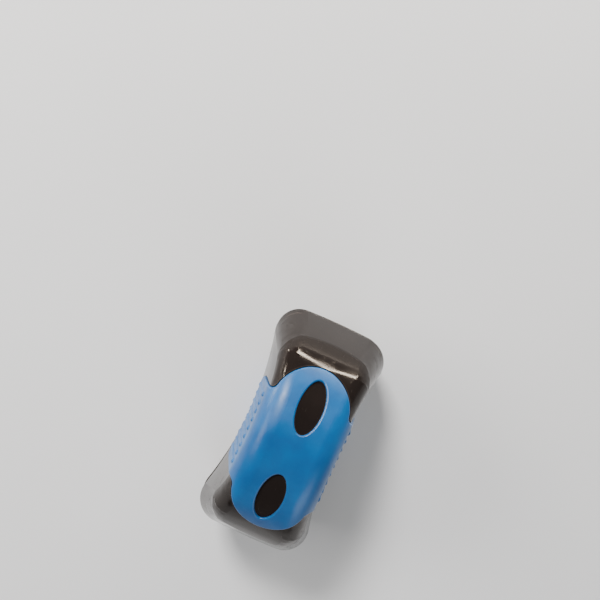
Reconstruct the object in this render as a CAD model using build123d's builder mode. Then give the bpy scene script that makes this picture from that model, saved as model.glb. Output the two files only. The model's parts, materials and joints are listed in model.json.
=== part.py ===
"""Floating magnetic glass cleaner: two waisted half bodies that grip a tank wall between them.

The wet half lies below, back down. The dry half, which the hand holds, stands on it, felt to scourer.
Frame: +X along the cleaner, +Y across it, +Z from the wet half to the dry half, in millimetres.
The origin is the middle of the flat back of the wet half, which is the face that the cleaner rests on.
"""

from math import cos, radians, sin, tan
import os

from build123d import *

# Plan of both halves where they meet the glass
HALF_LENGTH = 26.0
HALF_WIDTH = 14.7
HALF_WAIST = 10.4
END_BULGE = 0.7
CORNER_RADIUS = 5.5

# Heights
TOTAL_HEIGHT = 42.0
WET_MOUTH = 14.6
SCOURER_THICKNESS = 1.8
FELT_THICKNESS = 1.6
TAPE_THICKNESS = 0.2
PAD_GAP = 0.3
PAD_INSET = 0.6

# Form of the dry half: arched along its length, with walls that lean in most at the corners
ARCH_RADIUS = 25.0
ARCH_FOOT = 9.0
TOP_CORNER = 4.0
END_LEAN = 23.0
CORNER_LEAN = 17.5
WAIST_LEAN = 6.0
EDGE_ROUND = 4.0

# Form of the wet half
DRAFT = 8.0
BACK_ROUND = 3.5

# Mouldings
MOUTH_ROUND = 0.4
DRY_WALL = 2.0
WET_WALL = 1.6
LIP = 1.0
DRY_PLATE = 1.8
WET_PLATE = 1.5
PLATE_CLEARANCE = 0.05
SEAL_THICKNESS = 0.4

# Soft grips
GRIP_LENGTH = 33.4
GRIP_WIDTH = 15.4
GRIP_PROUD = 0.5
GRIP_SINK = 0.7
GRIP_EDGE = 0.3
GROOVE = 0.2
BOND_GAP = 0.03
WINDOW_LENGTH = 10.3
WINDOW_WIDTH = 5.0
WINDOW_OFFSET = 9.25
WING_HALF_LENGTH = 9.3
WING_ROUND = 3.0
NECK_ROUND = 1.6
DRY_WING_TIP = 22.2
WET_WING_TIP = 11.6
RIB_PITCH = 1.8
RIB_COUNT = 9
RIB_RADIUS = 0.6
RIB_HEIGHT = 0.35
RIB_MARGIN = 1.9
DRY_RIB_TOP = 35.0
WET_RIB_TOP = 5.6

# Magnets and what holds them
MAGNET_GAP = 0.2
DRY_MAGNET = (17.0, 13.0, 8.0)
WET_MAGNET = (15.0, 12.0, 3.4)
MAGNET_CHAMFER = 0.5
YOKE = (33.0, 12.4, 1.4)
FENCE_HEIGHT = 2.0
FENCE_WALL = 0.8
FENCE_CLEARANCE = 0.15
FENCE_LENGTH = 8.0
CUSHION = (24.0, 8.4)
FLOAT_FOAM = (32.0, 11.6)
FOAM_GAP = 0.05

# Screws of the dry half
SCREW_X = 19.4
SCREW_Y = 8.7
BOSS_RADIUS = 2.2
THREAD_RADIUS = 1.1
CORE_RADIUS = 0.8
SCREW_LENGTH = 6.0
HEAD_RADIUS = 2.0
HEAD_HEIGHT = 1.1
THREAD_PITCH = 0.7
THREAD_TURNS = 4
DRIVE_WIDTH = 0.55
DRIVE_LENGTH = 2.2
DRIVE_DEPTH = 0.7
SCREW_CLEARANCE = 0.05

DRY_MOUTH = WET_MOUTH + 2 * TAPE_THICKNESS + SCOURER_THICKNESS + PAD_GAP + FELT_THICKNESS
ARCH_TOP = TOTAL_HEIGHT - GRIP_PROUD


def outline(half_length, half_width, half_waist, corner):
    """Waisted outline with hollow sides, slightly bulging ends and round corners."""
    with BuildSketch() as drawn:
        with BuildLine():
            ThreePointArc((half_length - END_BULGE, -half_width), (half_length, 0),
                          (half_length - END_BULGE, half_width))
            ThreePointArc((half_length - END_BULGE, half_width), (0, half_waist),
                          (END_BULGE - half_length, half_width))
            ThreePointArc((END_BULGE - half_length, half_width), (-half_length, 0),
                          (END_BULGE - half_length, -half_width))
            ThreePointArc((END_BULGE - half_length, -half_width), (0, -half_waist),
                          (half_length - END_BULGE, -half_width))
        make_face()
        fillet(vertices(), radius=corner)
    return drawn.sketch


def body_outline(grow=0.0):
    """Outline of both halves where they meet the glass, moved outward by grow."""
    return outline(HALF_LENGTH + grow, HALF_WIDTH + grow, HALF_WAIST + grow, CORNER_RADIUS + grow)


def dry_form(grow=0.0):
    """Outer form of the dry half, moved outward by grow: leaning walls under an arched top."""
    rise = ARCH_TOP + 2 - DRY_MOUTH
    half_length = HALF_LENGTH + grow / cos(radians(END_LEAN))
    half_width = HALF_WIDTH + grow / cos(radians(CORNER_LEAN))
    half_waist = HALF_WAIST + grow / cos(radians(WAIST_LEAN))
    with BuildPart() as form:
        with BuildSketch(Plane.XY.offset(DRY_MOUTH)):
            add(outline(half_length, half_width, half_waist, CORNER_RADIUS + grow))
        with BuildSketch(Plane.XY.offset(DRY_MOUTH + rise)):
            add(outline(half_length - rise * tan(radians(END_LEAN)),
                        half_width - rise * tan(radians(CORNER_LEAN)),
                        half_waist - rise * tan(radians(WAIST_LEAN)), TOP_CORNER + grow))
        loft(ruled=True)
        with BuildSketch(Plane.XZ):
            with Locations((0, ARCH_TOP - ARCH_RADIUS)):
                Circle(ARCH_RADIUS + grow)
            with Locations((0, DRY_MOUTH)):
                Rectangle(4 * HALF_LENGTH, 2 * ARCH_FOOT)
        extrude(amount=2 * HALF_WIDTH, both=True, mode=Mode.INTERSECT)
        fillet(faces().filter_by(GeomType.CYLINDER).edges(), radius=EDGE_ROUND + grow)
    return form.part


def wet_form(grow=0.0):
    """Outer form of the wet half, moved outward by grow."""
    with BuildPart() as form:
        with BuildSketch(Plane.XY.offset(WET_MOUTH)):
            add(body_outline(grow / cos(radians(DRAFT))))
        extrude(amount=-(WET_MOUTH - GRIP_PROUD + grow), taper=DRAFT)
        fillet(faces().sort_by(Axis.Z)[0].edges(), radius=BACK_ROUND + grow)
    return form.part


def grip_region(low, high, tip, wing_end, grow=0.0):
    """Space that a grip fills: a stadium over the middle and a rounded wing down each side of the waist."""
    with BuildPart() as region:
        with BuildSketch(Plane.XY.offset(low)):
            SlotOverall(GRIP_LENGTH + 2 * grow, GRIP_WIDTH + 2 * grow)
            Rectangle(2 * (WING_HALF_LENGTH + grow), 4 * HALF_WIDTH)
            necks = vertices().group_by(lambda corner: round(abs(corner.Y), 3))[0]
            fillet(necks, radius=NECK_ROUND)
        extrude(amount=high - low)
        with BuildSketch(Plane.XZ):
            with Locations((0, (tip + wing_end) / 2)):
                RectangleRounded(2 * (WING_HALF_LENGTH + grow), abs(wing_end - tip) + 2 * grow, WING_ROUND)
        extrude(amount=2 * HALF_WIDTH, both=True)
    return region.part


def windows(low, high, grow=0.0):
    """Two upright oval columns on the centre line, moved outward by grow."""
    with BuildPart() as columns:
        with BuildSketch(Plane.XY.offset(low)):
            with Locations((WINDOW_OFFSET, 0), (-WINDOW_OFFSET, 0)):
                Ellipse(WINDOW_LENGTH / 2 + grow, WINDOW_WIDTH / 2 + grow)
        extrude(amount=high - low)
    return columns.part


def side_at(skin, x, z):
    """Half width of a form at the given place along it and the given height."""
    across = Axis((x, 0, z), (0, 1, 0))
    return max(point.Y for point, _ in skin.find_intersection_points(across))


def rib(skin, x, side, foot, top):
    """One rounded upright rib on a wing, following the lean of the side wall."""
    sink = RIB_RADIUS - RIB_HEIGHT
    start = Vector(x, side * (side_at(skin, x, foot) - sink), foot)
    end = Vector(x, side * (side_at(skin, x, top) - sink), top)
    along = Plane(origin=start, x_dir=(1, 0, 0), z_dir=(end - start))
    with BuildPart() as ridge:
        with BuildSketch(Plane(origin=start, x_dir=(1, 0, 0), z_dir=along.y_dir * -1)):
            with BuildLine():
                Line((0, -RIB_RADIUS), (0, (end - start).length + RIB_RADIUS))
                ThreePointArc((0, (end - start).length + RIB_RADIUS),
                              (RIB_RADIUS * sin(radians(45)),
                               (end - start).length + RIB_RADIUS * cos(radians(45))),
                              (RIB_RADIUS, (end - start).length))
                Line((RIB_RADIUS, (end - start).length), (RIB_RADIUS, 0))
                ThreePointArc((RIB_RADIUS, 0),
                              (RIB_RADIUS * sin(radians(45)), -RIB_RADIUS * cos(radians(45))),
                              (0, -RIB_RADIUS))
            make_face()
        revolve(axis=Axis(start, end - start))
    return ridge.part


def rim_edges(solid, skin, border):
    """Edges of solid that lie both on the faces of skin and on the faces of border."""
    rim = []
    for edge in solid.edges():
        marks = [edge.position_at(share) for share in (0.1, 0.5, 0.9)]
        on_skin = all(min(face.distance_to(mark) for face in skin.faces()) < 1e-3 for mark in marks)
        on_border = all(min(face.distance_to(mark) for face in border.faces()) < 1e-3 for mark in marks)
        if on_skin and on_border:
            rim.append(edge)
    return rim


def soft_grip(form, low, high, tip, wing_end, rib_foot, rib_top):
    """Rubbery cover bonded into a shallow recess, with rounded rims, two windows and ribbed wings."""
    skin = form(GRIP_PROUD)
    region = grip_region(low, high, tip, wing_end)
    openings = windows(low, high)
    with BuildPart() as grip:
        add(skin)
        add(form(BOND_GAP - GRIP_SINK), mode=Mode.SUBTRACT)
        add(region, mode=Mode.INTERSECT)
        fillet(rim_edges(grip.part, skin, region), radius=GRIP_EDGE)
        add(openings, mode=Mode.SUBTRACT)
        fillet(rim_edges(grip.part, skin, openings), radius=GRIP_EDGE)
        for number in range(RIB_COUNT):
            x = (number - (RIB_COUNT - 1) / 2) * RIB_PITCH
            for side in (1, -1):
                add(rib(skin, x, side, rib_foot, rib_top))
    return grip.part


def casing(form, mouth, inward, low, high, tip, wing_end, wall, recess_depth):
    """Hollow moulding, open at the mouth, with a recess for the soft grip."""
    with BuildPart() as recess:
        add(form(1.0))
        add(form(-GRIP_SINK), mode=Mode.SUBTRACT)
        add(grip_region(low, high, tip, wing_end, GROOVE), mode=Mode.INTERSECT)
        add(windows(low, high, -BOND_GAP), mode=Mode.SUBTRACT)
    with BuildPart() as shell:
        add(form(0.0))
        mouth_face = faces().filter_by(Plane.XY).sort_by(Axis.Z)[0 if inward > 0 else -1]
        fillet(mouth_face.edges(), radius=MOUTH_ROUND)
        add(form(-wall), mode=Mode.SUBTRACT)
        with BuildSketch(Plane.XY.offset(mouth)):
            add(body_outline(PLATE_CLEARANCE - LIP))
        extrude(amount=inward * recess_depth, mode=Mode.SUBTRACT)
        add(recess.part, mode=Mode.SUBTRACT)
    return shell.part


def fences(magnet, base, inward):
    """Low walls on a base plate that keep both magnets in place."""
    length, width, _ = magnet
    end_x = MAGNET_GAP / 2 + length + FENCE_CLEARANCE + FENCE_WALL / 2
    side_y = width / 2 + FENCE_CLEARANCE + FENCE_WALL / 2
    mid_x = (MAGNET_GAP + length) / 2
    with BuildPart() as walls:
        with BuildSketch(Plane.XY.offset(base)):
            with Locations((end_x, 0), (-end_x, 0)):
                Rectangle(FENCE_WALL, FENCE_LENGTH)
            with Locations((mid_x, side_y), (mid_x, -side_y), (-mid_x, side_y), (-mid_x, -side_y)):
                Rectangle(FENCE_LENGTH, FENCE_WALL)
        extrude(amount=inward * FENCE_HEIGHT)
    return walls.part


def block_magnet(magnet, side, base, inward):
    """One ferrite block with chamfered edges, on one side of the middle."""
    length, width, height = magnet
    with BuildPart() as block:
        with Locations((side * (MAGNET_GAP + length) / 2, 0, base + inward * height / 2)):
            Box(length, width, height)
        chamfer(edges(), length=MAGNET_CHAMFER)
    return block.part


def sheet(base, thickness, grow):
    """Flat sheet cut to the body's outline, moved outward by grow."""
    with BuildPart() as layer:
        with BuildSketch(Plane.XY.offset(base)):
            add(body_outline(grow))
        extrude(amount=thickness)
    return layer.part


os.makedirs("parts", exist_ok=True)

DRY_REGION = (28.0, TOTAL_HEIGHT + 2, DRY_WING_TIP, TOTAL_HEIGHT + 6)
WET_REGION = (-2.0, 5.0, WET_WING_TIP, -6.0)
SCREW_PLACES = [(SCREW_X, SCREW_Y), (SCREW_X, -SCREW_Y), (-SCREW_X, SCREW_Y), (-SCREW_X, -SCREW_Y)]

# Dry half: the casing that the hand holds, with four screw bosses under its roof
plate_top = DRY_MOUTH + DRY_PLATE
with BuildPart() as dry_bosses:
    with BuildSketch(Plane.XY.offset(plate_top + SCREW_CLEARANCE)):
        with Locations(*SCREW_PLACES):
            Circle(BOSS_RADIUS)
    extrude(amount=TOTAL_HEIGHT - plate_top)
    add(dry_form(-DRY_WALL / 2), mode=Mode.INTERSECT)
with BuildPart() as dry_casing:
    add(casing(dry_form, DRY_MOUTH, 1, *DRY_REGION, DRY_WALL, DRY_PLATE + PLATE_CLEARANCE))
    add(dry_bosses.part)
    with BuildSketch(Plane.XY.offset(plate_top)):
        with Locations(*SCREW_PLACES):
            Circle(THREAD_RADIUS)
    extrude(amount=SCREW_LENGTH - DRY_PLATE + 1, mode=Mode.SUBTRACT)
dry_casing.part.label = "dry_casing"
export_step(dry_casing.part, "parts/dry_casing.step")

# Dry half: ribbed soft grip with two oval windows
with BuildPart() as dry_grip:
    add(soft_grip(dry_form, *DRY_REGION, DRY_WING_TIP + RIB_MARGIN, DRY_RIB_TOP))
dry_grip.part.label = "dry_grip"
export_step(dry_grip.part, "parts/dry_grip.step")

# Dry half: base plate with fences for the magnets and countersunk screw holes
with BuildPart() as dry_base_plate:
    add(sheet(DRY_MOUTH, DRY_PLATE, -LIP))
    add(fences(DRY_MAGNET, plate_top, 1))
    with BuildSketch(Plane.XY.offset(DRY_MOUTH)):
        with Locations(*SCREW_PLACES):
            Circle(THREAD_RADIUS + 2 * SCREW_CLEARANCE)
    extrude(amount=DRY_PLATE, mode=Mode.SUBTRACT)
    with Locations(*[(x, y, DRY_MOUTH + HEAD_HEIGHT / 2) for x, y in SCREW_PLACES]):
        Cone(HEAD_RADIUS + SCREW_CLEARANCE, THREAD_RADIUS + 2 * SCREW_CLEARANCE, HEAD_HEIGHT,
             mode=Mode.SUBTRACT)
dry_base_plate.part.label = "dry_base_plate"
export_step(dry_base_plate.part, "parts/dry_base_plate.step")

# Dry half: two ferrite blocks on the plate, with opposite poles down
for pole, side in (("north", 1), ("south", -1)):
    with BuildPart() as dry_magnet:
        add(block_magnet(DRY_MAGNET, side, plate_top, 1))
    dry_magnet.part.label = f"dry_magnet_{pole}"
    export_step(dry_magnet.part, f"parts/dry_magnet_{pole}.step")

# Dry half: steel yoke across the backs of both magnets
yoke_base = plate_top + DRY_MAGNET[2]
with BuildPart() as dry_yoke:
    with BuildSketch(Plane.XY.offset(yoke_base)):
        RectangleRounded(YOKE[0], YOKE[1], 1.0)
    extrude(amount=YOKE[2])
    chamfer(faces().sort_by(Axis.Z)[-1].edges(), length=0.25)
dry_yoke.part.label = "dry_yoke"
export_step(dry_yoke.part, "parts/dry_yoke.step")

# Dry half: foam block that presses the yoke and magnets down from the roof
cushion_base = yoke_base + YOKE[2]
with BuildPart() as dry_cushion:
    with Locations((0, 0, (cushion_base + TOTAL_HEIGHT) / 2)):
        Box(CUSHION[0], CUSHION[1], TOTAL_HEIGHT - cushion_base)
    add(dry_form(-DRY_WALL - FOAM_GAP), mode=Mode.INTERSECT)
dry_cushion.part.label = "dry_cushion"
export_step(dry_cushion.part, "parts/dry_cushion.step")

# Dry half: one countersunk self-tapping screw per boss
for number, (screw_x, screw_y) in enumerate(SCREW_PLACES, start=1):
    with BuildPart() as dry_screw:
        with BuildSketch(Plane.XZ) as profile:
            with BuildLine():
                shank = [(0, 0), (HEAD_RADIUS, 0), (CORE_RADIUS, HEAD_HEIGHT)]
                for turn in range(THREAD_TURNS):
                    root = HEAD_HEIGHT + 0.6 + turn * THREAD_PITCH
                    shank.append((CORE_RADIUS, root))
                    shank.append((THREAD_RADIUS - SCREW_CLEARANCE, root + THREAD_PITCH * 0.4))
                    shank.append((CORE_RADIUS, root + THREAD_PITCH * 0.8))
                shank.append((CORE_RADIUS, SCREW_LENGTH - 1.2))
                shank.append((0, SCREW_LENGTH))
                Polyline(*shank, close=True)
            make_face()
        revolve(axis=Axis.Z)
        for turn_angle in (20, 110):
            with Locations(Location((0, 0, DRIVE_DEPTH / 2), (0, 0, turn_angle))):
                Box(DRIVE_LENGTH, DRIVE_WIDTH, DRIVE_DEPTH, mode=Mode.SUBTRACT)
    placed_screw = dry_screw.part.moved(Location((screw_x, screw_y, DRY_MOUTH)))
    placed_screw.label = f"dry_screw_{number}"
    export_step(placed_screw, f"parts/dry_screw_{number}.step")

# Dry half: double-sided tape and the felt that glides on the glass
felt_top = DRY_MOUTH - TAPE_THICKNESS
with BuildPart() as felt_tape:
    add(sheet(felt_top, TAPE_THICKNESS, -PAD_INSET))
felt_tape.part.label = "felt_tape"
export_step(felt_tape.part, "parts/felt_tape.step")

with BuildPart() as felt_pad:
    add(sheet(felt_top - FELT_THICKNESS, FELT_THICKNESS, -PAD_INSET))
    fillet(faces().sort_by(Axis.Z)[0].edges(), radius=0.4)
felt_pad.part.label = "felt_pad"
export_step(felt_pad.part, "parts/felt_pad.step")

# Wet half: watertight casing with a flat back
wet_recess = WET_PLATE + SEAL_THICKNESS
with BuildPart() as wet_casing:
    add(casing(wet_form, WET_MOUTH, -1, *WET_REGION, WET_WALL, wet_recess))
wet_casing.part.label = "wet_casing"
export_step(wet_casing.part, "parts/wet_casing.step")

# Wet half: soft grip whose flat panel is the face the cleaner rests on
with BuildPart() as wet_grip:
    add(soft_grip(wet_form, *WET_REGION, WET_WING_TIP - RIB_MARGIN, WET_RIB_TOP))
wet_grip.part.label = "wet_grip"
export_step(wet_grip.part, "parts/wet_grip.step")

# Wet half: seal on the ledge inside the mouth, and the plate that closes it
with BuildPart() as wet_seal:
    add(sheet(WET_MOUTH - wet_recess, SEAL_THICKNESS, -LIP))
    add(sheet(WET_MOUTH - wet_recess, SEAL_THICKNESS, -WET_WALL - 0.4), mode=Mode.SUBTRACT)
wet_seal.part.label = "wet_seal"
export_step(wet_seal.part, "parts/wet_seal.step")

plate_inside = WET_MOUTH - WET_PLATE
with BuildPart() as wet_base_plate:
    add(sheet(plate_inside, WET_PLATE, -LIP))
    add(fences(WET_MAGNET, plate_inside, -1))
wet_base_plate.part.label = "wet_base_plate"
export_step(wet_base_plate.part, "parts/wet_base_plate.step")

# Wet half: two thinner ferrite blocks under the plate, each facing the other half's opposite pole
for pole, side in (("south", 1), ("north", -1)):
    with BuildPart() as wet_magnet:
        add(block_magnet(WET_MAGNET, side, plate_inside, -1))
    wet_magnet.part.label = f"wet_magnet_{pole}"
    export_step(wet_magnet.part, f"parts/wet_magnet_{pole}.step")

# Wet half: closed-cell foam that holds the magnets up and keeps the half afloat
foam_top = plate_inside - WET_MAGNET[2]
foam_base = GRIP_PROUD + WET_WALL
with BuildPart() as wet_float_foam:
    with BuildSketch(Plane.XY.offset(foam_base)):
        RectangleRounded(FLOAT_FOAM[0], FLOAT_FOAM[1], 1.0)
    extrude(amount=foam_top - foam_base)
    add(wet_form(-WET_WALL - FOAM_GAP), mode=Mode.INTERSECT)
wet_float_foam.part.label = "wet_float_foam"
export_step(wet_float_foam.part, "parts/wet_float_foam.step")

# Wet half: waterproof tape and the scouring pad that meets the algae
with BuildPart() as scourer_tape:
    add(sheet(WET_MOUTH, TAPE_THICKNESS, -PAD_INSET))
scourer_tape.part.label = "scourer_tape"
export_step(scourer_tape.part, "parts/scourer_tape.step")

with BuildPart() as scourer_pad:
    add(sheet(WET_MOUTH + TAPE_THICKNESS, SCOURER_THICKNESS, -PAD_INSET))
    fillet(faces().sort_by(Axis.Z)[-1].edges(), radius=0.3)
scourer_pad.part.label = "scourer_pad"
export_step(scourer_pad.part, "parts/scourer_pad.step")

# Whether the wet half floats: displaced water against its own weight, in cubic mm and grams
sealed_volume = wet_form().volume + scourer_tape.part.volume
displaced = (sealed_volume + wet_grip.part.volume * 0.42) / 1000
plastic = (wet_casing.part.volume + wet_base_plate.part.volume + wet_grip.part.volume) * 1.05e-3
magnets = 2 * wet_magnet.part.volume * 4.9e-3
light = (wet_float_foam.part.volume * 0.08 + scourer_tape.part.volume + wet_seal.part.volume) * 1e-3
wet_pad = scourer_pad.part.volume * 0.15e-3
print("wet half displaces", round(displaced, 1), "g and weighs",
      round(plastic + magnets + light + wet_pad, 1), "g")
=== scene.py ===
import json
import math
import random

import bmesh
import bpy
from mathutils import Matrix, Vector, noise


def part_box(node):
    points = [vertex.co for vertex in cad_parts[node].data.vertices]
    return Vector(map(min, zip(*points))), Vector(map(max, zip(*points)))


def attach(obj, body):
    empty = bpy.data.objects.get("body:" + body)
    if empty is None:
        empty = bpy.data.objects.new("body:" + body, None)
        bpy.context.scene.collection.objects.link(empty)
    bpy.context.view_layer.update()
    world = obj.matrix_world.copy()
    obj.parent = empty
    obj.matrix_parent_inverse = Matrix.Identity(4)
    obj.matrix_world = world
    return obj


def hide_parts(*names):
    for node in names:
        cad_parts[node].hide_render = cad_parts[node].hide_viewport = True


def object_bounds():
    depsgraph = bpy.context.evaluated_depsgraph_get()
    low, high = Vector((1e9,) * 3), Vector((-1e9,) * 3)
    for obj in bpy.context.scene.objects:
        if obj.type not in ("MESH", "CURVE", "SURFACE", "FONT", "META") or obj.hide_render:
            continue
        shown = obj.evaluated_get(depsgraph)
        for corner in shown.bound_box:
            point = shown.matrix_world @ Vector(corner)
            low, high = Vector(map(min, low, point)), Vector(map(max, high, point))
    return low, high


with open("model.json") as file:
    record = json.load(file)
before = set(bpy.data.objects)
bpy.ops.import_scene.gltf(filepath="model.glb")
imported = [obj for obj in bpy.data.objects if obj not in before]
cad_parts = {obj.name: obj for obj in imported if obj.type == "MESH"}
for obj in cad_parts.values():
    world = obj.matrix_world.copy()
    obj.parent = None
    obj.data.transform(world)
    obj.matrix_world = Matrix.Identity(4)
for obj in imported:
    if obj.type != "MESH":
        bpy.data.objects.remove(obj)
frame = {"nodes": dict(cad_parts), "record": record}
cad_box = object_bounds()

MM = 0.001
random.seed(11)
FLOOR_HEIGHT = cad_box[0][2]


# Soft pieces: spacing and sizes in millimetres, and how many loose fibres
RIM_STEP = 0.35
RING_SHARES = (0.12, 0.25, 0.38, 0.5, 0.6, 0.7, 0.78, 0.85, 0.91, 0.96)
RIM_ROUND_STEPS = 6
FELT_SIDE_FIBRES = 1500
FELT_FACE_FIBRES = 1600
FELT_STEPS = 6
FELT_FIBRE_RADIUS = 0.022
BACKING_THICKNESS = 0.55
HOOK_ROOT = 0.40
HOOK_STEP = 0.62
HOOK_POINTS = 8
FOAM_VOXEL = 0.45
FOAM_BULGE = 0.25

# Floor, in metres, and the gap in millimetres that keeps it clear of the cleaner's back
FLOOR_RADIUS = 2.5
FLOOR_FLAT = 1.4
FLOOR_GAP = 0.02


# ---------------------------------------------------------------- camera
# The card-plane point below the photograph's centre, and the way the cleaner leans in the frame
CAMERA_PLACE = Vector((27.2, 10.4, 157.0)) * MM
CAMERA_UP = Vector((0.91, 0.415, 0.0))
LENS = 37.0


def add_camera():
    """Looks straight down on the floor, with the cleaner leaning as it does in its pack."""
    data = bpy.data.cameras.new("camera")
    data.lens = LENS
    data.sensor_width = 36.0
    data.clip_start = 0.01
    camera = bpy.data.objects.new("camera", data)
    bpy.context.collection.objects.link(camera)
    back = Vector((0, 0, 1))
    up = CAMERA_UP.normalized()
    right = up.cross(back).normalized()
    camera.matrix_world = Matrix((
        (right.x, up.x, back.x, CAMERA_PLACE.x),
        (right.y, up.y, back.y, CAMERA_PLACE.y),
        (right.z, up.z, back.z, CAMERA_PLACE.z),
        (0, 0, 0, 1),
    ))
    bpy.context.scene.camera = camera


# ---------------------------------------------------------------- materials
def group(name):
    """An empty node material and what its nodes are made with."""
    material = bpy.data.materials.new(name)
    material.use_nodes = True
    tree = material.node_tree
    shader = tree.nodes["Principled BSDF"]
    return material, tree, shader


def node(tree, kind, **values):
    """A node with settings, or with values on its named inputs."""
    made = tree.nodes.new(kind)
    for key, value in values.items():
        if hasattr(made, key):
            setattr(made, key, value)
        else:
            made.inputs[key.replace("_", " ")].default_value = value
    return made


def coords(tree, scale=1.0):
    """Object coordinates in millimetres, times scale."""
    place = node(tree, "ShaderNodeTexCoord")
    grow = node(tree, "ShaderNodeVectorMath", operation="SCALE")
    grow.inputs["Scale"].default_value = 1000.0 * scale
    tree.links.new(place.outputs["Object"], grow.inputs[0])
    return grow.outputs[0]


def noise_value(tree, size_mm, detail=3.0, roughness=0.55, stretch=None, seed=0.0):
    """Noise whose grains are about size_mm across."""
    vector = coords(tree, 1.0)
    if stretch or seed:
        place = node(tree, "ShaderNodeMapping")
        place.inputs["Scale"].default_value = stretch or (1, 1, 1)
        place.inputs["Location"].default_value = (seed, seed * 1.7, seed * 0.6)
        tree.links.new(vector, place.inputs["Vector"])
        vector = place.outputs[0]
    cloud = node(tree, "ShaderNodeTexNoise")
    cloud.inputs["Scale"].default_value = 1.0 / size_mm
    cloud.inputs["Detail"].default_value = detail
    cloud.inputs["Roughness"].default_value = roughness
    tree.links.new(vector, cloud.inputs["Vector"])
    return cloud.outputs[0]


def spread(tree, value, low_in, high_in, low_out, high_out):
    """Maps a value between two ranges and holds it inside the second."""
    ranged = node(tree, "ShaderNodeMapRange")
    ranged.inputs["From Min"].default_value = low_in
    ranged.inputs["From Max"].default_value = high_in
    ranged.inputs["To Min"].default_value = low_out
    ranged.inputs["To Max"].default_value = high_out
    tree.links.new(value, ranged.inputs["Value"])
    return ranged.outputs[0]


def blend_colour(tree, factor, first, second, kind="MIX"):
    """Mixes two colours, or sockets, by a value."""
    mixed = node(tree, "ShaderNodeMix", data_type="RGBA", blend_type=kind)
    tree.links.new(factor, mixed.inputs[0])
    for socket, colour in ((mixed.inputs[6], first), (mixed.inputs[7], second)):
        if isinstance(colour, tuple):
            socket.default_value = (*colour, 1.0)
        else:
            tree.links.new(colour, socket)
    return mixed.outputs[2]


def add_bump(tree, shader, heights):
    """Chains bumps of (value, distance in mm, strength) onto the shader's normal."""
    normal = None
    for value, distance, strength in heights:
        bump = node(tree, "ShaderNodeBump")
        bump.inputs["Distance"].default_value = distance * MM
        bump.inputs["Strength"].default_value = strength
        tree.links.new(value, bump.inputs["Height"])
        if normal is not None:
            tree.links.new(normal, bump.inputs["Normal"])
        normal = bump.outputs[0]
    tree.links.new(normal, shader.inputs["Normal"])


def scratches(tree, size_mm, seed, keep):
    """Hair-thin scuffs in one direction: 1 on a scuff, 0 elsewhere."""
    lines = noise_value(tree, size_mm, 2.0, 0.6, stretch=(0.06, 1.0, 0.5), seed=seed)
    return spread(tree, lines, keep, keep + 0.03, 0.0, 1.0)


def edge_mask(tree, radius_mm):
    """1 near a sharp edge and 0 on open surface."""
    bevel = node(tree, "ShaderNodeBevel", samples=4)
    bevel.inputs["Radius"].default_value = radius_mm * MM
    surface = node(tree, "ShaderNodeNewGeometry")
    dot = node(tree, "ShaderNodeVectorMath", operation="DOT_PRODUCT")
    tree.links.new(bevel.outputs[0], dot.inputs[0])
    tree.links.new(surface.outputs["Normal"], dot.inputs[1])
    return spread(tree, dot.outputs["Value"], 0.999, 0.93, 0.0, 1.0)


def casing_material():
    """Glossy near-black ABS with a warm cast, fine scuffs, faint flow ripple and handled edges."""
    material, tree, shader = group("casing_plastic")
    clouds = noise_value(tree, 9.0, 3.0, 0.5)
    tint = blend_colour(tree, clouds, (0.0075, 0.0056, 0.0052), (0.0160, 0.0118, 0.0104))
    wear = edge_mask(tree, 0.25)
    tint = blend_colour(tree, wear, tint, (0.040, 0.031, 0.027))
    shader.inputs["Specular IOR Level"].default_value = 0.17
    shader.inputs["Specular Tint"].default_value = (1.0, 0.86, 0.76, 1.0)
    tree.links.new(tint, shader.inputs["Base Color"])
    smear = spread(tree, noise_value(tree, 4.0, 4.0, 0.6, seed=3.0), 0.35, 0.75, 0.07, 0.16)
    scuff = scratches(tree, 0.5, 7.0, 0.68)
    rough = node(tree, "ShaderNodeMath", operation="MULTIPLY_ADD", use_clamp=True)
    rough.inputs[1].default_value = 0.25
    tree.links.new(scuff, rough.inputs[0])
    tree.links.new(smear, rough.inputs[2])
    tree.links.new(rough.outputs[0], shader.inputs["Roughness"])
    add_bump(tree, shader, [
        (noise_value(tree, 6.0, 1.0, 0.4, seed=5.0), 0.05, 0.5),
        (noise_value(tree, 0.25, 2.0, 0.5, seed=9.0), 0.004, 0.5),
        (scuff, 0.003, 0.4),
    ])
    return material


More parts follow.
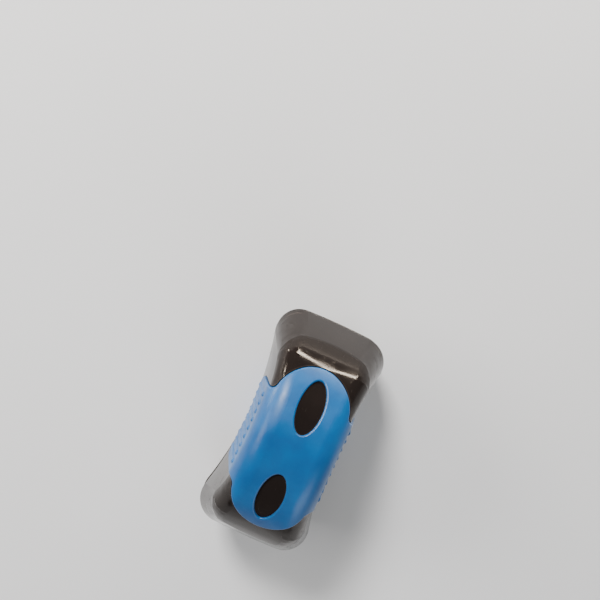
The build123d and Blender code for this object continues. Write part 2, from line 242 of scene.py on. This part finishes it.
def grip_material():
    """Satin soft-touch elastomer, mid blue, with a fine spark-eroded grain and slight handling gloss."""
    material, tree, shader = group("soft_grip")
    clouds = noise_value(tree, 7.0, 4.0, 0.55, seed=2.0)
    tint = blend_colour(tree, spread(tree, clouds, 0.3, 0.7, 0.0, 1.0),
                        (0.0014, 0.070, 0.230), (0.0040, 0.110, 0.320))
    speck = spread(tree, noise_value(tree, 0.35, 2.0, 0.6, seed=8.0), 0.62, 0.80, 0.0, 0.25)
    tint = blend_colour(tree, speck, tint, (0.02, 0.18, 0.44))
    wear = edge_mask(tree, 0.3)
    tint = blend_colour(tree, spread(tree, wear, 0.0, 1.0, 0.0, 0.5), tint, (0.02, 0.17, 0.42))
    tree.links.new(tint, shader.inputs["Base Color"])
    smear = spread(tree, noise_value(tree, 5.0, 4.0, 0.6, seed=6.0), 0.3, 0.75, 0.30, 0.46)
    tree.links.new(smear, shader.inputs["Roughness"])
    shader.inputs["Specular IOR Level"].default_value = 0.42
    shader.inputs["Sheen Weight"].default_value = 0.03
    shader.inputs["Sheen Roughness"].default_value = 0.4
    shader.inputs["Subsurface Weight"].default_value = 0.06
    shader.inputs["Subsurface Radius"].default_value = (0.0004, 0.0008, 0.0015)
    add_bump(tree, shader, [
        (noise_value(tree, 3.0, 2.0, 0.5, seed=4.0), 0.06, 0.35),
        (noise_value(tree, 0.16, 3.0, 0.6, seed=1.0), 0.012, 0.7),
    ])
    return material


def plate_material():
    """Matt moulded ABS with a fine grain."""
    material, tree, shader = group("plate_plastic")
    clouds = noise_value(tree, 5.0, 3.0, 0.5)
    tint = blend_colour(tree, clouds, (0.014, 0.014, 0.015), (0.032, 0.031, 0.031))
    tree.links.new(tint, shader.inputs["Base Color"])
    rough = spread(tree, noise_value(tree, 1.2, 3.0, 0.6, seed=2.0), 0.3, 0.7, 0.42, 0.62)
    tree.links.new(rough, shader.inputs["Roughness"])
    add_bump(tree, shader, [(noise_value(tree, 0.22, 3.0, 0.6, seed=3.0), 0.02, 0.6)])
    return material


def ferrite_material():
    """Dark sintered ferrite: fine grain, pits and ground faces."""
    material, tree, shader = group("ferrite")
    grain = noise_value(tree, 0.4, 4.0, 0.7)
    tint = blend_colour(tree, grain, (0.030, 0.030, 0.033), (0.075, 0.073, 0.074))
    wear = edge_mask(tree, 0.3)
    tint = blend_colour(tree, wear, tint, (0.14, 0.135, 0.13))
    tree.links.new(tint, shader.inputs["Base Color"])
    rough = spread(tree, noise_value(tree, 2.0, 3.0, 0.6, seed=3.0), 0.3, 0.7, 0.38, 0.7)
    tree.links.new(rough, shader.inputs["Roughness"])
    shader.inputs["Metallic"].default_value = 0.2
    pits = spread(tree, noise_value(tree, 0.7, 2.0, 0.5, seed=4.0), 0.28, 0.40, 0.0, 1.0)
    ground = noise_value(tree, 0.3, 2.0, 0.5, stretch=(0.05, 1.0, 1.0), seed=6.0)
    add_bump(tree, shader, [(grain, 0.02, 0.6), (pits, 0.06, 0.6), (ground, 0.01, 0.5)])
    return material


def steel_material(name, colour, warm):
    """Zinc-plated steel: rolled grain, mottled passivation and brighter edges."""
    material, tree, shader = group(name)
    mottle = noise_value(tree, 2.5, 4.0, 0.6)
    tint = blend_colour(tree, spread(tree, mottle, 0.35, 0.65, 0.0, 1.0), colour, warm)
    wear = edge_mask(tree, 0.2)
    tint = blend_colour(tree, wear, tint, (0.82, 0.82, 0.80))
    tree.links.new(tint, shader.inputs["Base Color"])
    shader.inputs["Metallic"].default_value = 1.0
    rough = spread(tree, noise_value(tree, 1.0, 4.0, 0.6, seed=2.0), 0.3, 0.7, 0.24, 0.42)
    tree.links.new(rough, shader.inputs["Roughness"])
    rolled = noise_value(tree, 0.15, 2.0, 0.5, stretch=(0.04, 1.0, 1.0), seed=5.0)
    add_bump(tree, shader, [(rolled, 0.008, 0.5), (mottle, 0.02, 0.2)])
    return material


def foam_material():
    """Charcoal closed-cell foam with small open cells on its cut faces, whose pits carry painted shade."""
    material, tree, shader = group("foam")
    cells = node(tree, "ShaderNodeTexVoronoi", feature="F1")
    cells.inputs["Scale"].default_value = 1.0 / 0.55
    tree.links.new(coords(tree), cells.inputs["Vector"])
    # Low at each cell's centre: it sinks the bump into a pit there and also drives the painted shade in
    # the pits.
    pit_depth_and_shade = spread(tree, cells.outputs["Distance"], 0.1, 0.55, 0.0, 1.0)
    # Painted shade: the colour goes to the darker charcoal towards each cell's centre, where the pit is
    # deepest.
    tint = blend_colour(tree, pit_depth_and_shade, (0.035, 0.035, 0.037), (0.12, 0.12, 0.125))
    tree.links.new(tint, shader.inputs["Base Color"])
    rough = spread(tree, noise_value(tree, 1.5, 2.0, 0.5), 0.3, 0.7, 0.8, 0.95)
    tree.links.new(rough, shader.inputs["Roughness"])
    shader.inputs["Sheen Weight"].default_value = 0.2
    add_bump(tree, shader, [(pit_depth_and_shade, 0.12, 0.8), (noise_value(tree, 0.2, 3.0, 0.6), 0.03, 0.5)])
    return material


def tape_material():
    """Grey double-sided film with trapped air."""
    material, tree, shader = group("tape")
    bubbles = spread(tree, noise_value(tree, 1.6, 3.0, 0.6), 0.55, 0.70, 0.0, 1.0)
    tint = blend_colour(tree, bubbles, (0.150, 0.145, 0.135), (0.240, 0.235, 0.220))
    tree.links.new(tint, shader.inputs["Base Color"])
    rough = spread(tree, noise_value(tree, 0.8, 3.0, 0.6, seed=2.0), 0.3, 0.7, 0.35, 0.6)
    tree.links.new(rough, shader.inputs["Roughness"])
    shader.inputs["Subsurface Weight"].default_value = 0.2
    shader.inputs["Subsurface Radius"].default_value = (0.0008, 0.0007, 0.0005)
    add_bump(tree, shader, [(bubbles, 0.03, 0.4)])
    return material


def seal_material():
    """Cured grey silicone with a soft tooled surface."""
    material, tree, shader = group("seal_rubber")
    clouds = noise_value(tree, 2.0, 3.0, 0.5)
    tint = blend_colour(tree, clouds, (0.40, 0.41, 0.41), (0.58, 0.59, 0.58))
    tree.links.new(tint, shader.inputs["Base Color"])
    rough = spread(tree, noise_value(tree, 1.0, 3.0, 0.5, seed=2.0), 0.3, 0.7, 0.3, 0.5)
    tree.links.new(rough, shader.inputs["Roughness"])
    shader.inputs["Subsurface Weight"].default_value = 0.15
    shader.inputs["Subsurface Radius"].default_value = (0.001, 0.001, 0.001)
    add_bump(tree, shader, [(noise_value(tree, 0.8, 3.0, 0.5, seed=3.0), 0.04, 0.5)])
    return material


def fibre_material(name, dark, light, rough_low, rough_high, sheen):
    """Fibres that differ a little in colour and gloss from one to the next."""
    material, tree, shader = group(name)
    fine = noise_value(tree, 0.5, 4.0, 0.7)
    broad = noise_value(tree, 6.0, 3.0, 0.5, seed=4.0)
    tint = blend_colour(tree, spread(tree, fine, 0.3, 0.7, 0.0, 1.0), dark, light)
    shade = spread(tree, broad, 0.3, 0.7, 0.0, 0.4)
    tint = blend_colour(tree, shade, tint, dark)
    tree.links.new(tint, shader.inputs["Base Color"])
    tree.links.new(spread(tree, fine, 0.3, 0.7, rough_low, rough_high), shader.inputs["Roughness"])
    shader.inputs["Sheen Weight"].default_value = sheen
    shader.inputs["Sheen Roughness"].default_value = 0.5
    add_bump(tree, shader, [(noise_value(tree, 0.18, 4.0, 0.7, seed=6.0), 0.06, 0.8)])
    return material


# ---------------------------------------------------------------- stage
def stage_material():
    """Plain pale floor."""
    material, tree, shader = group("floor_paper")
    clouds = noise_value(tree, 40.0, 3.0, 0.5)
    tint = blend_colour(tree, clouds, (0.76, 0.76, 0.77), (0.80, 0.80, 0.81))
    tree.links.new(tint, shader.inputs["Base Color"])
    shader.inputs["Roughness"].default_value = 0.75
    return material


def add_floor():
    """A wide disc of pale floor, dished up at its far rim."""
    mesh = bpy.data.meshes.new("floor")
    build = bmesh.new()
    rings, spokes = 24, 96
    last = None
    middle = build.verts.new((0, 0, 0))
    for ring in range(1, rings + 1):
        radius = FLOOR_RADIUS * ring / rings
        rise = max(0.0, radius - FLOOR_FLAT) ** 2 * 0.8
        row = [build.verts.new((radius * math.cos(2 * math.pi * k / spokes),
                                radius * math.sin(2 * math.pi * k / spokes), rise))
               for k in range(spokes)]
        for k in range(spokes):
            after = (k + 1) % spokes
            if last is None:
                build.faces.new((middle, row[k], row[after]))
            else:
                build.faces.new((last[k], row[k], row[after], last[after]))
        last = row
    build.to_mesh(mesh)
    build.free()
    mesh.shade_smooth()
    floor = bpy.data.objects.new("floor", mesh)
    floor.location = (0, 0, FLOOR_HEIGHT - FLOOR_GAP * MM)
    floor.data.materials.append(stage_material())
    bpy.context.collection.objects.link(floor)


def add_light(name, place, size, power, colour, aim):
    """One soft box, aimed at a point."""
    data = bpy.data.lights.new(name, "AREA")
    data.shape = "RECTANGLE"
    data.size, data.size_y = size
    data.energy = power
    data.color = colour
    lamp = bpy.data.objects.new(name, data)
    lamp.location = place
    lamp.rotation_euler = (Vector(aim) - Vector(place)).to_track_quat("-Z", "Y").to_euler()
    bpy.context.collection.objects.link(lamp)


def add_lights():
    """Warm low strips beyond the far end and the left side, a soft overhead box and two broad fills."""
    aim = (0.0, 0.0, 0.03)
    add_light("end_strip", (0.36, -0.02, 0.058), (0.20, 0.020), 1.3, (1.0, 0.94, 0.82), aim)
    add_light("side_strip", (0.13, 0.34, 0.062), (0.12, 0.020), 0.8, (1.0, 0.95, 0.85), aim)
    add_light("overhead", (0.42, 0.34, 0.60), (0.18, 0.18), 8.5, (1.0, 0.98, 0.96), aim)
    add_light("left_fill", (-0.05, 0.60, 0.42), (0.35, 0.25), 2.0, (1.0, 0.98, 0.95), aim)
    add_light("right_fill", (-0.50, -0.40, 0.40), (0.45, 0.35), 1.6, (0.92, 0.96, 1.0), aim)
    world = bpy.data.worlds.new("studio")
    world.use_nodes = True
    sky = world.node_tree.nodes["Background"]
    sky.inputs[0].default_value = (0.90, 0.92, 0.95, 1.0)
    sky.inputs[1].default_value = 0.20
    bpy.context.scene.world = world


# ---------------------------------------------------------------- assembly
add_camera()
add_floor()
add_lights()

MATERIALS = {
    "casing_plastic": casing_material(),
    "soft_grip": grip_material(),
    "plate_plastic": plate_material(),
    "ferrite": ferrite_material(),
    "zinc_steel": steel_material("zinc_steel", (0.50, 0.50, 0.50), (0.62, 0.60, 0.55)),
    "foam": foam_material(),
    "screw_steel": steel_material("screw_steel", (0.55, 0.53, 0.48), (0.68, 0.64, 0.52)),
    "tape": tape_material(),
    "felt": fibre_material("felt", (0.012, 0.012, 0.014), (0.060, 0.060, 0.066), 0.8, 0.95, 0.5),
    "seal_rubber": seal_material(),
    "scourer": fibre_material("scourer", (0.006, 0.012, 0.050), (0.020, 0.040, 0.140), 0.35, 0.6, 0.2),
}
for part in frame["record"]["subparts"]:
    shown = frame["nodes"][part["node"]]
    shown.data.materials.clear()
    shown.data.materials.append(MATERIALS[part["material_slot"]])

# ---------------------------------------------------------------- soft pieces
def rim_of(name, top):
    """The outline of a flat CAD pad as evenly spaced points, from its top or bottom face."""
    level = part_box(name)[1 if top else 0].z
    flat = {(round(v.co.x, 7), round(v.co.y, 7)) for v in frame["nodes"][name].data.vertices
            if abs(v.co.z - level) < 1e-6}
    corners = [Vector(place) for place in sorted(flat, key=lambda place: math.atan2(place[1], place[0]))]
    sides = [(end - start).length for start, end in zip(corners, corners[1:] + corners[:1])]
    count = int(sum(sides) / (RIM_STEP * MM))
    even = []
    k, passed = 0, 0.0
    for number in range(count):
        want = sum(sides) * number / count
        while want > passed + sides[k]:
            passed += sides[k]
            k += 1
        even.append(corners[k].lerp(corners[(k + 1) % len(corners)], (want - passed) / sides[k]))
    return even


def bridge(build, rows):
    """Joins rings of vertices, one after the other, with faces."""
    for first, second in zip(rows, rows[1:]):
        for k in range(len(first)):
            after = (k + 1) % len(first)
            build.faces.new((first[k], first[after], second[after], second[k]))


def cap(build, row, hub):
    """Closes a ring with a fan of faces around one more vertex."""
    tip = build.verts.new(hub)
    for k in range(len(row)):
        build.faces.new((tip, row[k], row[(k + 1) % len(row)]))


def rough_slab(build, rim, low_z, high_z, edge, ripple, seed):
    """A closed slab over an outline, with softly rounded rims and an uneven surface."""
    middle = (low_z + high_z) / 2
    half = (high_z - low_z) / 2
    turns = [math.pi * (k / RIM_ROUND_STEPS - 0.5) for k in range(RIM_ROUND_STEPS + 1)]
    rings = [(share, edge, -1.0) for share in RING_SHARES]
    rings += [(1.0, edge * (1 - math.cos(turn)), math.sin(turn)) for turn in turns]
    rings += [(share, edge, 1.0) for share in reversed(RING_SHARES)]
    rows = []
    for share, inset, level in rings:
        row = []
        for point in rim:
            place = point.normalized() * (point.length - inset) * share
            z = middle + half * level
            spot = Vector((place.x, place.y, z)) / MM
            soft = noise.noise(spot / 1.1 + Vector((seed, 0, 0)))
            fine = noise.noise(spot / 0.4 + Vector((0, seed, 0)))
            dent = ripple * (0.5 + 0.35 * soft + 0.15 * fine)
            z -= level * dent
            place -= place.normalized() * dent * math.sqrt(max(0.0, 1 - level * level))
            row.append(build.verts.new((place.x, place.y, z)))
        rows.append(row)
    bridge(build, rows)
    for row in (rows[0], rows[-1]):
        cap(build, row, (0, 0, row[0].co.z))


def strand(build, path, radius, sides=3):
    """A closed thin tube along a path, pointed at both ends."""
    rows = []
    for before, place, after in zip(path, path[1:], path[2:]):
        along = (after - before).normalized()
        across = along.cross(Vector((0.3, 0.5, 0.81))).normalized()
        other = along.cross(across)
        turns = [2 * math.pi * side / sides for side in range(sides)]
        rows.append([build.verts.new(place + radius * (across * math.cos(turn) + other * math.sin(turn)))
                     for turn in turns])
    bridge(build, rows)
    cap(build, rows[0], path[0])
    cap(build, rows[-1], path[-1])


def inside(rim, point, margin):
    """Whether a point lies inside an outline, at least margin from it."""
    angle = math.atan2(point.y, point.x)
    k = min(range(len(rim)), key=lambda n: abs((math.atan2(rim[n].y, rim[n].x) - angle + math.pi)
                                              % (2 * math.pi) - math.pi))
    return point.length < rim[k].length - margin


def finish_piece(name, build, body, slot, node_name):
    """Makes a soft piece from a mesh in the making, and puts it in its place in the assembly."""
    bmesh.ops.recalc_face_normals(build, faces=build.faces)
    mesh = bpy.data.meshes.new(name)
    build.to_mesh(mesh)
    build.free()
    mesh.shade_smooth()
    piece = bpy.data.objects.new(name, mesh)
    bpy.context.collection.objects.link(piece)
    piece.data.materials.append(MATERIALS[slot])
    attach(piece, body)
    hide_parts(node_name)
    return piece


def side_fibre(rim, floor_z, roof_z):
    """Path of one fibre that bows out of the felt's cut side."""
    k = random.randrange(len(rim))
    edge = rim[(k + 1) % len(rim)] - rim[k - 1]
    out = Vector((edge.y, -edge.x, 0)).normalized()
    level = random.uniform(floor_z + 0.25 * MM, roof_z - 0.20 * MM)
    along = Vector((edge.x, edge.y, 0)).normalized() * random.choice((-1, 1))
    start = Vector((rim[k].x, rim[k].y, level)) - out * 0.22 * MM
    length = random.uniform(0.6, 1.5) * MM
    rise = random.uniform(0.15, 0.38) * MM
    slant = Vector((0, 0, random.uniform(-0.25, 0.25) * MM))
    shares = [step / (FELT_STEPS - 1) for step in range(FELT_STEPS)]
    return [start + along * length * share + out * math.sin(math.pi * share) * rise + slant * share
            for share in shares]


def face_fibre(spot, floor_z):
    """Path of one curled fibre that lies just under the felt's gliding face."""
    turn = random.uniform(0, 2 * math.pi)
    curl = random.uniform(-1.5, 1.5)
    length = random.uniform(0.8, 2.0) * MM
    place = Vector((spot.x, spot.y, 0))
    path = []
    for step in range(FELT_STEPS):
        share = step / (FELT_STEPS - 1)
        heading = turn + curl * share
        place = place + Vector((math.cos(heading), math.sin(heading), 0)) * length / (FELT_STEPS - 1)
        height = floor_z + (0.085 - 0.055 * math.sin(math.pi * share)) * MM
        path.append(Vector((place.x, place.y, height)))
    return path


def felt_pad():
    """Needled felt: an uneven slab with loose fibres that lie over its face and stand out at its sides."""
    rim = rim_of("felt_pad", True)
    lowest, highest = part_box("felt_pad")
    build = bmesh.new()
    rough_slab(build, rim, lowest.z + 0.05 * MM, highest.z, 0.45 * MM, 0.10 * MM, 3.0)
    for _ in range(FELT_SIDE_FIBRES):
        strand(build, side_fibre(rim, lowest.z, highest.z), FELT_FIBRE_RADIUS * MM)
    made = 0
    while made < FELT_FACE_FIBRES:
        spot = Vector((random.uniform(lowest.x, -lowest.x), random.uniform(lowest.y, -lowest.y)))
        if inside(rim, spot, 0.9 * MM):
            strand(build, face_fibre(spot, lowest.z), 0.9 * FELT_FIBRE_RADIUS * MM)
            made += 1
    finish_piece("felt_pad_soft", build, "dry_half", "felt", "felt_pad")


def hook_path(spot, root_z, roof_z):
    """Path of one nylon hook: an upright stem whose end curls over to one side."""
    turn = random.uniform(0, 2 * math.pi)
    lean = Vector((math.cos(turn), math.sin(turn), 0)) * random.uniform(0.15, 0.42) * MM
    height = roof_z - root_z - 0.06 * MM - random.uniform(0.0, 0.18) * MM
    root = Vector((spot.x, spot.y, root_z))
    path = []
    for step in range(HOOK_POINTS):
        share = step / (HOOK_POINTS - 1)
        if share < 0.6:
            up, over = share * 1.3, share * 0.15
        else:
            swing = (share - 0.6) / 0.4 * math.pi * 0.85
            up, over = 0.78 + 0.22 * math.sin(swing), 0.09 + 0.45 * (1 - math.cos(swing))
        path.append(root + Vector((0, 0, height * up)) + lean * over)
    return path


def scourer_pad():
    """Nylon hook pad: a backing with a close field of short curled hooks."""
    rim = rim_of("scourer_pad", False)
    lowest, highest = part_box("scourer_pad")
    build = bmesh.new()
    backing_top = lowest.z + BACKING_THICKNESS * MM
    rough_slab(build, rim, lowest.z, backing_top, 0.12 * MM, 0.06 * MM, 8.0)
    step = HOOK_STEP * MM
    for column in range(int(-2 * lowest.x / step)):
        for row in range(int(-2 * lowest.y / step)):
            spot = Vector((lowest.x + (column + 0.5) * step, lowest.y + (row + 0.5) * step))
            spot += Vector((random.uniform(-1, 1), random.uniform(-1, 1))) * 0.16 * MM
            if inside(rim, spot, 0.30 * MM):
                path = hook_path(spot, lowest.z + HOOK_ROOT * MM, highest.z)
                strand(build, path, random.uniform(0.060, 0.080) * MM)
    finish_piece("scourer_pad_soft", build, "wet_half", "scourer", "scourer_pad")


def foam_block(node_name, body):
    """Cut foam with eased corners, faces that bulge a little between them, and a pitted skin."""
    shown = frame["nodes"][node_name]
    corner_low, corner_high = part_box(node_name)
    block = bpy.data.objects.new(node_name + "_rough", shown.data.copy())
    bpy.context.collection.objects.link(block)
    remesh = block.modifiers.new("cells", "REMESH")
    remesh.mode = "VOXEL"
    remesh.voxel_size = FOAM_VOXEL * MM
    ease = block.modifiers.new("ease", "SMOOTH")
    ease.factor = 0.5
    ease.iterations = 4
    settled = block.evaluated_get(bpy.context.evaluated_depsgraph_get())
    mesh = bpy.data.meshes.new_from_object(settled)
    bpy.data.objects.remove(block)
    build = bmesh.new()
    build.from_mesh(mesh)
    bpy.data.meshes.remove(mesh)
    build.normal_update()
    middle = (corner_low + corner_high) / 2
    half = (corner_high - corner_low) / 2
    moves = []
    for v in build.verts:
        share = [min(1.0, abs((v.co[k] - middle[k]) / half[k])) for k in range(3)]
        edge = sorted(share)[1]
        cell = noise.cell(v.co / (0.7 * MM)) * 0.5 + noise.noise(v.co / (0.6 * MM))
        inward = FOAM_BULGE * edge ** 3 + 0.05 * (1 + max(-1.0, min(1.0, cell)))
        moves.append(v.co - v.normal * inward * MM)
    for v, place in zip(build.verts, moves):
        v.co = place
    finish_piece(node_name + "_soft", build, body, "foam", node_name)


felt_pad()
scourer_pad()
foam_block("dry_cushion", "dry_half")
foam_block("wet_float_foam", "wet_half")
